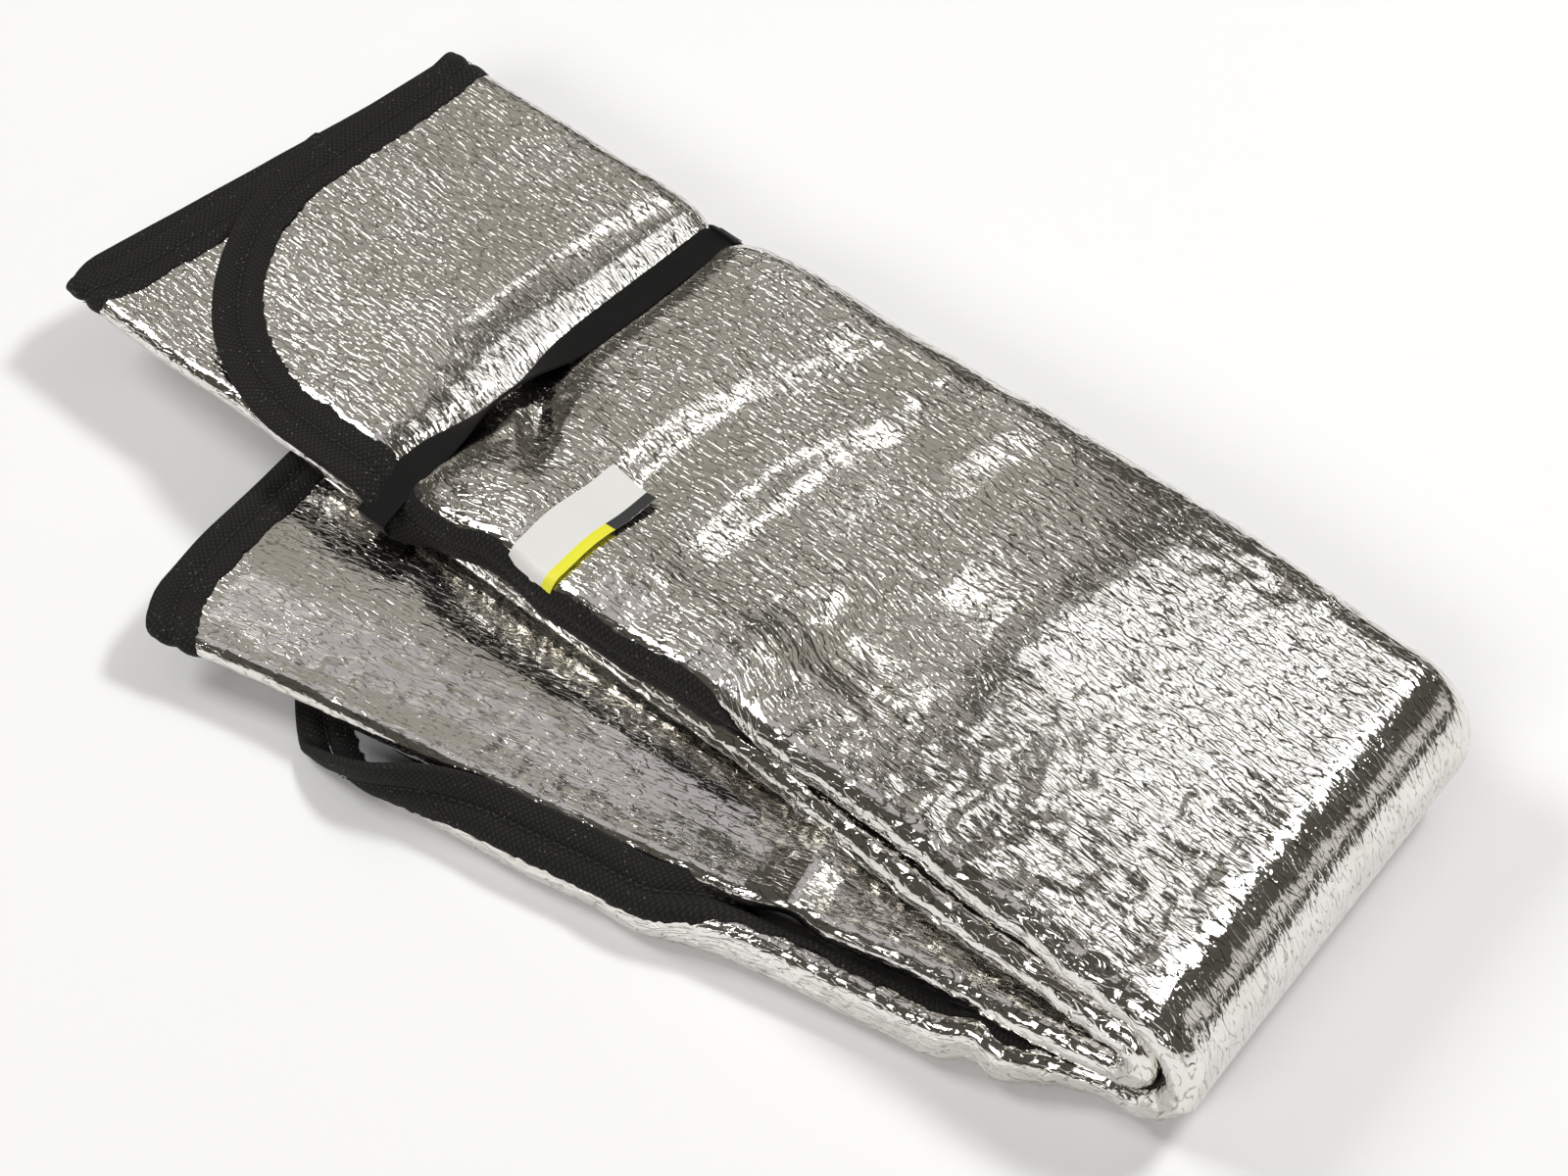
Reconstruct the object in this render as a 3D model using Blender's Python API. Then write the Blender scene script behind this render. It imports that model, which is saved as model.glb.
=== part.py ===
"""Foil-faced foam pad, folded to a strip four layers thick, folded once across and held by an elastic loop.

The sheet is drawn flat, one quarter of its width after another, and every piece is then folded by the same
two formulas: section() turns the width of the sheet into the spiral of one leg, and Leg or turn() carries
that spiral along a leg or round the fold across the pad. Metres, +Z up, floor at z = 0.
"""

import math

import bmesh
import bpy
from mathutils import Matrix, Vector

# The sheet: closed-cell foam with a metallised film on one face. It is folded across at FOLD_FROM_END.
SHEET_LENGTH = 0.820
FOLD_FROM_END = 0.459
FOAM = 0.0025
FILM = 0.0003
CORNER_RADIUS = 0.088

# The folded pad. The two legs fan apart because the fold across them is not quite square.
LEG_WIDTH = 0.168
FOLD_SKEW = math.radians(6.25)
LAYER_PITCH = 0.0070
INNER_RADIUS = 0.0050

# How far each quarter has slipped lengthwise when folded, evened out over EASE each side of a bend.
SLIP = {1: 0.0, 2: 0.0, 3: 0.004, 4: 0.011}
EASE = 0.014

# The binding tape round the whole edge, and the thread that closes it.
TAPE = 0.0006
BINDING_WIDTH = 0.016
SEAM_INSET = 0.008
THREAD = 0.0003

# The elastic loop round the upper leg, its lapped end and the bar tack's size and setback.
ELASTIC_FROM_FOLD = 0.290
ELASTIC_WIDTH = 0.012
ELASTIC = 0.0012
ELASTIC_CLEARANCE = 0.0004
ELASTIC_LAP = 0.012
TACK = 0.0012

# The sewn label.
LABEL_FROM_FOLD = 0.226
LABEL_WIDTH = 0.020
LABEL_REACH = 0.044
LABEL = 0.0005

# Touching pieces keep this gap. A bend is a run of short flats, each turned by BEND_STEP.
GAP = 0.0003
BEND_STEP = math.radians(22.5)

# What follows from these: the film faces away from the fold axis on some quarters and towards it on others.

QUARTERS = (1, 2, 3, 4)
FILM_OUT = {1: 1, 2: -1, 3: 1, 4: -1}
HALF_LAYER = FOAM / 2 + GAP + FILM
EDGE_INSET = TAPE + GAP
FLANGE = HALF_LAYER + GAP + TAPE
RADIUS = {1: INNER_RADIUS + 3 * LAYER_PITCH, 4: INNER_RADIUS + 2 * LAYER_PITCH,
          3: INNER_RADIUS + LAYER_PITCH, 2: INNER_RADIUS}
AXIS_HEIGHT = RADIUS[1] + FLANGE

OUTER_BEND = (RADIUS[1] - RADIUS[2]) / 2
INNER_BEND = LAYER_PITCH / 2
FAR_LINE = LEG_WIDTH / 2 - OUTER_BEND - FLANGE
NEAR_LINE = -LEG_WIDTH / 2 + INNER_BEND + FLANGE
NEAR_EDGE = -LEG_WIDTH / 2

# Width of the sheet, measured along it from the near edge of quarter 1 to that of quarter 4.
RUNS = (("q1", FAR_LINE - NEAR_EDGE, 0), ("bend_12", OUTER_BEND, -1), ("q2", FAR_LINE - NEAR_LINE, 0),
        ("bend_23", INNER_BEND, -1), ("q3", FAR_LINE - NEAR_LINE, 0), ("bend_34", INNER_BEND, 1),
        ("q4", FAR_LINE - NEAR_EDGE, 0))


def run_spans():
    """Start and end of each straight quarter and each bend along the width of the sheet."""
    spans, start = {}, 0.0
    for name, size, turn_way in RUNS:
        length = math.pi * size if turn_way else size
        spans[name] = (start, start + length)
        start += length
    return spans


SPANS = run_spans()
SHEET_WIDTH = SPANS["q4"][1]


def section(s, h):
    """Place across a leg and height above the axis, for a point s along the width, h off the foam middle."""
    y, z, heading = NEAR_EDGE, RADIUS[1], 0.0
    for name, size, turn_way in RUNS:
        low, high = SPANS[name]
        step = min(s, high) - low if name != "q4" else s - low
        if turn_way:
            across = heading + turn_way * math.pi / 2
            centre_y, centre_z = y + size * math.cos(across), z + size * math.sin(across)
            heading += turn_way * step / size
            back = heading - turn_way * math.pi / 2
            y, z = centre_y + size * math.cos(back), centre_z + size * math.sin(back)
        else:
            y, z = y + step * math.cos(heading), z + step * math.sin(heading)
        if s <= high:
            break
    return y - h * math.sin(heading), z + h * math.cos(heading)


class Leg:
    """One half of the folded pad: side +1 is the upper leg, -1 the lower one under it."""

    def __init__(self, name, side):
        self.name = name
        self.side = side
        full = FOLD_FROM_END if side > 0 else SHEET_LENGTH - FOLD_FROM_END
        self.length = {q: full - math.pi * RADIUS[q] / 2 + side * SLIP[q] for q in QUARTERS}
        self.turned = Matrix.Rotation(-side * FOLD_SKEW, 4, "Z")

    def fold(self, point):
        """A point of the flat sheet (width, distance from the fold, height) in its folded place."""
        s, u, h = point
        y, z = section(s, h)
        x = -u
        if u < 1e-6:
            x = self.side * -y * math.tan(FOLD_SKEW) - GAP / math.cos(FOLD_SKEW)
        return self.turned @ Vector((x, y, AXIS_HEIGHT + self.side * z))

    def cut_edge(self):
        """The sheet's free end as flat points (width, distance from the fold), round both of its corners."""
        points = [(0.0, 0.0)]
        points += corner(CORNER_RADIUS, self.length[1] - CORNER_RADIUS, math.pi)
        for q in (1, 2, 3):
            points.append((SPANS[f"q{q}"][1] - EASE, self.length[q]))
            points.append((SPANS[f"q{q + 1}"][0] + EASE, self.length[q + 1]))
        points += corner(SHEET_WIDTH - CORNER_RADIUS, self.length[4] - CORNER_RADIUS, math.pi / 2)
        points.append((SHEET_WIDTH, 0.0))
        return points


def corner(s, u, start):
    """The sheet's corner as a quarter circle of flat points about (s, u), clockwise from the start angle."""
    steps = 8
    angles = [start - i * math.pi / 2 / steps for i in range(steps + 1)]
    return [(s + CORNER_RADIUS * math.cos(a), u + CORNER_RADIUS * math.sin(a)) for a in angles]


def mitres(line):
    """For each point of a flat line, the point and the way inwards, as long as a parallel offset needs."""
    points = [Vector(p) for p in line]
    runs = [(b - a).normalized() for a, b in zip(points, points[1:])]
    for here, before, after in zip(points, runs[:1] + runs, runs + runs[-1:]):
        inward = Vector((before.y + after.y, -before.x - after.x)).normalized()
        yield here, inward / inward.dot(Vector((after.y, -after.x)))


def set_in(line, inset):
    return [tuple(here + inward * inset) for here, inward in mitres(line)]


def bend_stations():
    """Widths at which the sheet is divided so that each bend is a run of short flats."""
    stations = []
    for name, _size, turn_way in RUNS:
        low, high = SPANS[name]
        if turn_way:
            steps = round(math.pi / BEND_STEP)
            stations += [low + (high - low) * i / steps for i in range(steps + 1)]
    return stations


def turn_stations(radius):
    steps = round(math.pi / BEND_STEP)
    return [math.pi * radius * i / steps for i in range(1, steps)]


def turn(quarter):
    """The formula that carries a flat point (across, distance round, height) round the cross fold."""
    radius, way = RADIUS[quarter], FILM_OUT[quarter]

    def fold(point):
        y, v, h = point
        angle = v / radius - math.pi / 2
        reach = radius + way * h
        across = y / math.cos(FOLD_SKEW)
        return Vector((reach * math.cos(angle), across, AXIS_HEIGHT + reach * math.sin(angle)))

    return fold


def plate(outline, low, high):
    """A flat outline given a thickness, from height low to height high."""
    work = bmesh.new()
    face = work.faces.new([work.verts.new((a, b, low)) for a, b in outline])
    grown = bmesh.ops.extrude_face_region(work, geom=[face])
    lifted = [v for v in grown["geom"] if isinstance(v, bmesh.types.BMVert)]
    bmesh.ops.translate(work, vec=(0, 0, high - low), verts=lifted)
    return work


def channel(line, half_depth, width):
    """A folded tape, open inwards, carried along a flat line: its cut section is a U lying on its side."""
    skin = half_depth + TAPE
    u_shape = ((0, -skin), (width, -skin), (width, -half_depth), (TAPE, -half_depth),
               (TAPE, half_depth), (width, half_depth), (width, skin), (0, skin))
    return carried(line, u_shape)


def carried(line, profile):
    """A closed profile (set in from the line, height) carried along a flat line, its corners mitred."""
    work = bmesh.new()
    rings = [[work.verts.new((*(here + inward * d), h)) for d, h in profile] for here, inward in mitres(line)]
    for ring, following in zip(rings, rings[1:]):
        for j in range(len(profile)):
            k = (j + 1) % len(profile)
            work.faces.new((ring[j], ring[k], following[k], following[j]))
    work.faces.new(rings[0])
    work.faces.new(reversed(rings[-1]))
    return work


def fold_up(work, name, stations, axis, formula, material):
    """Divides a flat piece at stations along an axis, folds its points by the formula, makes the object."""
    normal = Vector((1, 0, 0)) if axis == 0 else Vector((0, 1, 0))
    ends = [v.co[axis] for v in work.verts]
    for station in stations:
        if min(ends) + 1e-6 < station < max(ends) - 1e-6:
            everything = list(work.verts) + list(work.edges) + list(work.faces)
            place = normal * station
            bmesh.ops.bisect_plane(work, geom=everything, plane_co=place, plane_no=normal, dist=1e-7)
    for v in work.verts:
        v.co = formula(v.co)
    return make(work, name, material)


def make(work, name, material):
    bmesh.ops.recalc_face_normals(work, faces=work.faces)
    if work.calc_volume(signed=True) < 0:
        bmesh.ops.reverse_faces(work, faces=work.faces)
    mesh = bpy.data.meshes.new(name)
    work.to_mesh(mesh)
    work.free()
    piece = bpy.data.objects.new(name, mesh)
    mesh.materials.append(material)
    PARTS.objects.link(piece)
    return piece


def finish(name, color, roughness, metallic=0.0):
    material = bpy.data.materials.new(name)
    material.use_nodes = True
    shader = material.node_tree.nodes["Principled BSDF"]
    shader.inputs["Base Color"].default_value = (*color, 1)
    shader.inputs["Roughness"].default_value = roughness
    shader.inputs["Metallic"].default_value = metallic
    return material


def clip(line, low, high):
    """The stretch of a flat line whose width lies between low and high."""
    kept = [line[0]] if low <= line[0][0] else []
    for here, following in zip(line, line[1:]):
        for s in (low, high):
            if here[0] < s < following[0]:
                share = (s - here[0]) / (following[0] - here[0])
                kept.append((s, here[1] + share * (following[1] - here[1])))
        if low <= following[0] <= high:
            kept.append(following)
    return kept


def foam_and_film(leg):
    """The foam, a solid for each quarter and each bend along the leg, and the film laid over all of it."""
    edge = set_in(leg.cut_edge(), EDGE_INSET)
    for name, _size, turn_way in RUNS:
        low, high = SPANS[name]
        stretch = clip(edge, low + GAP / 2 * (name != "q1"), high - GAP / 2 * (name != "q4"))
        outline = stretch if stretch[0][1] == 0 else [(stretch[0][0], 0.0)] + stretch
        outline = outline if outline[-1][1] == 0 else outline + [(outline[-1][0], 0.0)]
        work = plate(outline, -FOAM / 2, FOAM / 2)
        fold_up(work, f"foam_{name}_{leg.name}", bend_stations(), 0, leg.fold, FOAM_FINISH)
    work = plate(edge, FOAM / 2 + GAP, FOAM / 2 + GAP + FILM)
    fold_up(work, f"film_{leg.name}", bend_stations(), 0, leg.fold, FILM_FINISH)


def binding(leg):
    """The tape that wraps the cut edge, with the first quarter's stretch apart from the rest."""
    edge = leg.cut_edge()
    first = SPANS["q1"][1]
    for name, low, high in (("q1", 0.0, first - GAP / 2), ("rest", first + GAP / 2, SHEET_WIDTH)):
        work = channel(clip(edge, low, high), HALF_LAYER + GAP, BINDING_WIDTH)
        fold_up(work, f"binding_{name}_{leg.name}", bend_stations(), 0, leg.fold, TAPE_FINISH)


def seam_thread(leg):
    """The seam's thread along the binding's middle, on its upper side in both legs, clear of the floor."""
    middle = leg.side * (FLANGE + GAP + THREAD / 2)
    half = THREAD / 2
    low, high = middle - half, middle + half
    square = ((-half, low), (half, low), (half, high), (-half, high))
    work = carried(set_in(leg.cut_edge(), SEAM_INSET), square)
    fold_up(work, f"stitching_{leg.name}", bend_stations(), 0, leg.fold, THREAD_FINISH)


def cross_fold(q):
    """The foam and film of one quarter where it turns back over the other leg."""
    low = NEAR_EDGE + EDGE_INSET if q in (1, 4) else NEAR_LINE
    round_fold = math.pi * RADIUS[q]
    outline = ((low, 0.0), (FAR_LINE, 0.0), (FAR_LINE, round_fold), (low, round_fold))
    stations = turn_stations(RADIUS[q])
    fold_up(plate(outline, -FOAM / 2, FOAM / 2), f"foam_q{q}_fold", stations, 1, turn(q), FOAM_FINISH)
    film = plate(outline, FOAM / 2 + GAP, FOAM / 2 + GAP + FILM)
    fold_up(film, f"film_q{q}_fold", stations, 1, turn(q), FILM_FINISH)
    if q in (1, 4):
        work = channel(((NEAR_EDGE, 0.0), (NEAR_EDGE, round_fold)), HALF_LAYER + GAP, BINDING_WIDTH)
        fold_up(work, f"binding_q{q}_fold", stations, 1, turn(q), TAPE_FINISH)


def leg_place(x, y, z):
    """A frame on the upper leg, x along it towards the fold, y across it and z above the fold axis."""
    return Matrix.Rotation(-FOLD_SKEW, 4, "Z") @ Matrix.Translation((x, y, AXIS_HEIGHT + z))


def joint_empty(name, place):
    empty = bpy.data.objects.new(name, None)
    empty.empty_display_size = 0.02
    empty.matrix_world = place
    PARTS.objects.link(empty)
    return empty


def loop_line(half_width, half_height, radius):
    """A closed rectangle with round corners, as points across and up."""
    steps = 4
    points = []
    for corner_index in range(4):
        centre_y = (half_width - radius) * (1, -1, -1, 1)[corner_index]
        centre_z = (half_height - radius) * (1, 1, -1, -1)[corner_index]
        for i in range(steps + 1):
            angle = math.pi / 2 * (corner_index + i / steps)
            points.append((centre_y + radius * math.cos(angle), centre_z + radius * math.sin(angle)))
    return points


def slab(outline_outer, outline_inner, width):
    """A closed band: the space between two loops of equal count, with a width along x."""
    work = bmesh.new()
    rings = [[work.verts.new((x, y, z)) for y, z in loop]
             for x, loop in ((-width / 2, outline_outer), (-width / 2, outline_inner),
                             (width / 2, outline_inner), (width / 2, outline_outer))]
    count = len(outline_outer)
    for ring, following in zip(rings, rings[1:] + rings[:1]):
        for i in range(count):
            j = (i + 1) % count
            work.faces.new((ring[i], ring[j], following[j], following[i]))
    return work


def box(work, low, high):
    made = bmesh.ops.create_cube(work, size=1.0)
    size = Vector(high) - Vector(low)
    for v in made["verts"]:
        v.co = Vector(low) + Vector((v.co[i] + 0.5) * size[i] for i in range(3))


def elastic():
    """The woven elastic loop: band, the lap where its end is sewn over it, and the bar tack of that seam."""
    low = RADIUS[2] - FLANGE - THREAD - GAP - ELASTIC_CLEARANCE
    high = RADIUS[1] + FLANGE + THREAD + GAP + ELASTIC_CLEARANCE
    half_height = (high - low) / 2
    half_width = LEG_WIDTH / 2 + THREAD + GAP + ELASTIC_CLEARANCE
    slide = joint_empty("elastic_slide_axis", leg_place(-ELASTIC_FROM_FOLD, 0, (low + high) / 2))
    corner_in = 2.5 * (THREAD + GAP + ELASTIC_CLEARANCE)
    inside = loop_line(half_width, half_height, corner_in)
    outside = loop_line(half_width + ELASTIC, half_height + ELASTIC, corner_in + ELASTIC)
    band = make(slab(outside, inside, ELASTIC_WIDTH), "elastic_band", ELASTIC_FINISH)
    lap_start = half_width + ELASTIC + GAP
    work = bmesh.new()
    half_lap = ELASTIC_LAP / 2
    box(work, (-ELASTIC_WIDTH / 2, lap_start, -half_lap), (ELASTIC_WIDTH / 2, lap_start + ELASTIC, half_lap))
    lap = make(work, "elastic_lap", ELASTIC_FINISH)
    work = bmesh.new()
    tack_start = lap_start + ELASTIC + GAP
    box(work, (-ELASTIC_WIDTH / 2 + TACK, tack_start, -TACK / 2),
        (ELASTIC_WIDTH / 2 - TACK, tack_start + THREAD, TACK / 2))
    tack = make(work, "elastic_tack", THREAD_FINISH)
    for piece in (band, lap, tack):
        piece.parent = slide


def label():
    """The label, sewn at the binding's edge and turned up over it, and its row of stitches."""
    hinge_y = NEAR_EDGE - GAP - LABEL / 2
    hinge = joint_empty("label_turn_axis", leg_place(-LABEL_FROM_FOLD, hinge_y, RADIUS[1]))
    top = FLANGE + THREAD + 2 * GAP + LABEL / 2
    round_over = top - FLANGE
    middle = [(0.0, 0.0), (0.0, top - round_over)]
    middle += [(round_over * (1 - math.cos(a)), top - round_over * (1 - math.sin(a)))
               for a in (math.pi * i / 12 for i in range(1, 7))]
    middle.append((LABEL_REACH, top))
    near, far = [], []
    for i, here in enumerate(middle):
        along = (Vector(middle[min(i + 1, len(middle) - 1)]) - Vector(middle[max(i - 1, 0)])).normalized()
        off = Vector((-along.y, along.x)) * LABEL / 2
        near.append(tuple(Vector(here) + off))
        far.append(tuple(Vector(here) - off))
    outline = near + far[::-1]
    work = plate(outline, -LABEL_WIDTH / 2, LABEL_WIDTH / 2)
    for v in work.verts:
        v.co = Vector((v.co.z, v.co.x, v.co.y))
    strip = make(work, "label", LABEL_FINISH)
    work = bmesh.new()
    face = -LABEL / 2 - GAP
    half_row = LABEL_WIDTH / 2 - TACK
    box(work, (-half_row, face - THREAD, 2 * THREAD), (half_row, face, 3 * THREAD))
    stitches = make(work, "label_stitch", THREAD_FINISH)
    for piece in (strip, stitches):
        piece.parent = hinge


for old in list(bpy.data.objects):
    bpy.data.objects.remove(old, do_unlink=True)
PARTS = bpy.data.collections.new("foil_foam_pad")
bpy.context.scene.collection.children.link(PARTS)

FILM_FINISH = finish("metallised_film", (0.75, 0.74, 0.71), 0.22, 1.0)
FOAM_FINISH = finish("closed_cell_foam", (0.62, 0.62, 0.64), 0.80)
TAPE_FINISH = finish("binding_tape", (0.018, 0.017, 0.016), 0.85)
THREAD_FINISH = finish("black_thread", (0.022, 0.021, 0.020), 0.60)
ELASTIC_FINISH = finish("woven_elastic", (0.012, 0.012, 0.012), 0.70)
LABEL_FINISH = finish("satin_label", (0.80, 0.78, 0.74), 0.45)

main_fold = joint_empty("main_fold_axis", Matrix.Translation((0, 0, AXIS_HEIGHT)))
for half in (Leg("lower", -1), Leg("upper", 1)):
    foam_and_film(half)
    binding(half)
    seam_thread(half)
for number in QUARTERS:
    cross_fold(number)
elastic()
label()

# The pieces of the upper leg hang on the fold's axis, and the whole pad stands centred over the origin.
root = joint_empty("pad", Matrix.Identity(4))
bpy.context.view_layer.update()
solids = [o for o in PARTS.objects if o.type == "MESH"]
corners = [o.matrix_world @ v.co for o in solids for v in o.data.vertices]
lowest = [min(c[i] for c in corners) for i in range(3)]
highest = [max(c[i] for c in corners) for i in range(3)]
upper_pieces = [o for o in PARTS.objects if o.name.endswith("_upper")]
upper_pieces += [o for o in PARTS.objects if o.name in ("elastic_slide_axis", "label_turn_axis")]
for piece in upper_pieces:
    piece.parent = main_fold
    piece.matrix_parent_inverse = main_fold.matrix_world.inverted()
for piece in list(PARTS.objects):
    if piece.parent is None and piece is not root:
        piece.parent = root
root.location = (-(lowest[0] + highest[0]) / 2, -(lowest[1] + highest[1]) / 2, -lowest[2])
bpy.context.view_layer.update()
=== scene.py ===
"""A foil-faced foam pad, folded to a strip and once across, and held by an elastic loop.

The whole pad is one sheet, so every piece of it is drawn flat, as width s, distance u from the cross fold and
height h towards the foil, and is folded by the same two formulas, across() and place(). Metres, +Z up.
"""

import bpy
import numpy as np
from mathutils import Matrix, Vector


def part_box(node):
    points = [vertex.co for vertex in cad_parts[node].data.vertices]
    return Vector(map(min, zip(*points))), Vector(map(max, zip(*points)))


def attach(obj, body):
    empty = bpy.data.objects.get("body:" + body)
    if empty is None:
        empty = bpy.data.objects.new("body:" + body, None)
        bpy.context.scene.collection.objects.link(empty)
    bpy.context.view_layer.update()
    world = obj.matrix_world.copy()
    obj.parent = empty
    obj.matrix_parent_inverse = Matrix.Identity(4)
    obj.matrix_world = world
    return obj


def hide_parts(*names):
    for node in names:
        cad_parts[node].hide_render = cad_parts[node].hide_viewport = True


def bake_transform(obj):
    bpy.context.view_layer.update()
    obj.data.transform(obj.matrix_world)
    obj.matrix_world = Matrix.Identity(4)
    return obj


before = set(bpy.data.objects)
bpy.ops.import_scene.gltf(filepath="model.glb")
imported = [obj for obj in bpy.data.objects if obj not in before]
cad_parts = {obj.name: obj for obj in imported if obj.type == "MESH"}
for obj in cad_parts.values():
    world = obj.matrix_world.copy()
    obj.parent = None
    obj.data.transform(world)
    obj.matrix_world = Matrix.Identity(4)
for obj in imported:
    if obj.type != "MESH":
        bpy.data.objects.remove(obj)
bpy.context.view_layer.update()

# ---- The fold --------------------------------------------------------------------------------------------
# The sheet's width lies in four quarters: quarter 1 outermost, then 4, 3 and 2 towards the cross fold's axis.
# A leg's section gives each quarter a height above that axis; the layers settle closer together away from it.
AXIS = np.array([0.213327, -0.004845, 0.02875])
SKEW = np.radians(6.25)
QUARTER, OUTER_ARC, INNER_ARC, MIDDLE = 0.15475, 0.032987, 0.010995, 0.1485
S12, S2, S23, S3, S34, S4 = np.cumsum([QUARTER, OUTER_ARC, MIDDLE, INNER_ARC, MIDDLE, INNER_ARC])
WIDTH = S4 + QUARTER
MIDS = (0.0, (S12 + S2) / 2, (S23 + S3) / 2, (S34 + S4) / 2, WIDTH)
FOAM_HALF, FILM, SKIN = 0.00125, 0.0003, 0.0003
CORNER = 0.088
FAR_LINE, NEAR_LINE = 0.07075, -0.07775  # where the lengthwise bends begin, across the leg
STRAP_AT = 0.290
APART = 0.0002  # each leg stops this short of the fold's plane, so that the opened legs don't meet


def ease(low, high, x):
    """0 below low, 1 above high and a smooth step t*t*(3-2t) between."""
    t = np.clip((x - low) / (high - low), 0.0, 1.0)
    return t * t * (3 - 2 * t)


def bump(x, at, wide):
    """A bell of height 1 at a point: e to the minus ((x - at) / wide) squared."""
    return np.exp(-(((x - at) / wide) ** 2))


def ripple(x, y, long, short, seed):
    """Smooth noise from -1 to 1: random heights at the corners of long x short cells, blended by the quintic
    f*f*f*(f*(6f-15)+10) of each point's share f of its cell."""
    table = np.random.default_rng(seed).uniform(-1, 1, (251, 251))
    gx, gy = x / long, y / short
    ix, iy = np.floor(gx).astype(int), np.floor(gy).astype(int)
    fx, fy = (f**3 * (f * (f * 6 - 15) + 10) for f in (gx - ix, gy - iy))
    a, b, c, d = (table[(ix + i) % 251, (iy + j) % 251] for i, j in ((0, 0), (1, 0), (0, 1), (1, 1)))
    return (a * (1 - fx) + b * fx) * (1 - fy) + (c * (1 - fx) + d * fx) * fy


class Leg:
    """One half of the folded pad, with its side (1 above, -1 below), free-end lengths and layer heights."""

    def __init__(self, name, side, ends, heights, settled, seed):
        self.name, self.side, self.ends = name, side, ends
        self.heights, self.settled, self.seed = heights, settled, seed

    def end(self, s):
        """Length of the sheet's half at width s before its corners are rounded: straight lines between the
        quarters' ends, evened out by a mean over 24 mm of width."""
        around = np.asarray(s)[..., None] + np.linspace(-0.012, 0.012, 7)
        return np.interp(around, (0, S12, S2, S23, S3, S34, S4, WIDTH), self.ends).mean(-1)

    def cut(self, s):
        """Length at width s with the corners rounded: the quarter circle's rise taken off."""
        near = np.clip(CORNER - np.minimum(s, WIDTH - s), 0.0, CORNER)
        return self.end(s) - CORNER + np.sqrt(CORNER**2 - near**2)

    def depth(self, s, u):
        """Distance from the cut edge of a rounded rectangle: CORNER less the length of (a, b), how far the
        point has come into the corner's square from either side."""
        a = np.maximum(CORNER - np.minimum(s, WIDTH - s), 0.0)
        b = np.maximum(CORNER - (self.end(s) - u), 0.0)
        return CORNER - np.hypot(a, b)

    def layer(self, q, y, u):
        """Height of a quarter's middle above the axis. From the fold's own radius it settles to the layers'
        rest height over 0.4 m, with each leg's own unevenness on the way."""
        start, stop = self.heights[q - 1], self.settled[q - 1]
        z = start + (stop - start) * ease(0.0, 0.40, u)
        return self.slack_below(q, y, u, z) if self.side < 0 else self.slack_above(q, y, u, z)

    def slack_below(self, q, y, u, z):
        """The lower leg's unevenness: its top quarter swells into its near roll, sags behind it, and has one
        ridge across the roll."""
        if q == 2:
            roll = ease(-0.045, -0.080, y)
            z = z + ease(0.02, 0.12, u) * (0.0016 * roll - 0.0012 * bump(y, -0.046, 0.018))
            z = z + 0.0030 * bump(u, 0.118, 0.0075) * roll
        if q != 1:
            z = z + ease(0.0, 0.05, u) * 0.0007 * ripple(u, y, 0.060, 0.045, self.seed)
        return z

    def slack_above(self, q, y, u, z):
        """The upper leg's unevenness, which grows by rank from the innermost quarter, 0, to the top one, 1:
        noise in two sizes, a crown across, and waves 46 mm long that swerve and fade."""
        rank = {1: 1.0, 4: 0.62, 3: 0.3, 2: 0.0}[q]
        soft = ease(0.0, 0.05, u)
        dents = ripple(u, y, 0.030, 0.120, 61) * (0.25 + 0.75 * ease(0.06, 0.12, u))
        crown = 1 - (y / 0.085) ** 2
        swerve = u + 0.12 * y + 0.012 * ripple(u, y, 0.05, 0.05, 29)
        waves = np.sin(2 * np.pi * swerve / 0.046) * (0.75 + 0.55 * ripple(u, y, 0.04, 0.045, 31))
        waves = waves * ease(0.13, 0.17, u) * ease(0.26, 0.22, u)
        z = z + soft * (0.35 + 0.65 * rank) * 0.0010 * ripple(u, y, 0.055, 0.042, self.seed)
        z = z + soft * rank * (0.0014 * dents + 0.0010 * crown + 0.0007 * waves)
        # the swell towards the cross fold; the loop's dent, a narrow one in a wide one; the puffs beside it
        z = z + rank * 0.0054 * ease(-0.015, 0.105, u) * ease(0.27, 0.13, u) * ease(0.0, 0.02, u)
        z = z - rank * (0.0042 * bump(u, STRAP_AT, 0.009) + 0.0022 * bump(u, STRAP_AT, 0.030))
        z = z + 0.0026 * rank * (bump(u, STRAP_AT + 0.034, 0.018) + bump(u, STRAP_AT - 0.040, 0.024))
        if q == 1:
            # the free end droops at its near side; a crease runs slantwise from the loop's twist, beside a
            # fold; the near edge is puffed up between the loop and the label
            along, beside = (u + y - 0.240) / np.sqrt(2), (u - y - 0.302) / np.sqrt(2)
            z = z - 0.0030 * ease(-0.012, -0.062, y) * ease(0.298, 0.325, u)
            z = z - 0.0052 * bump(beside, 0.0, 0.0048) * bump(along, 0.0, 0.0150)
            z = z + 0.0020 * bump(beside, -0.0150, 0.0080) * bump(along, 0.0, 0.018)
            z = z + 0.0026 * bump(y, -0.060, 0.013) * ease(0.290, 0.262, u) * ease(0.05, 0.17, u)
        return z

    def hem(self, q, u):
        """A quarter's near edge, curled by two arcs with a straight wall between: where across the leg it
        starts, the arcs' radius, the first arc's angle, the wall, the second angle and the whole width."""
        if self.side > 0 and q == 1:
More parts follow.
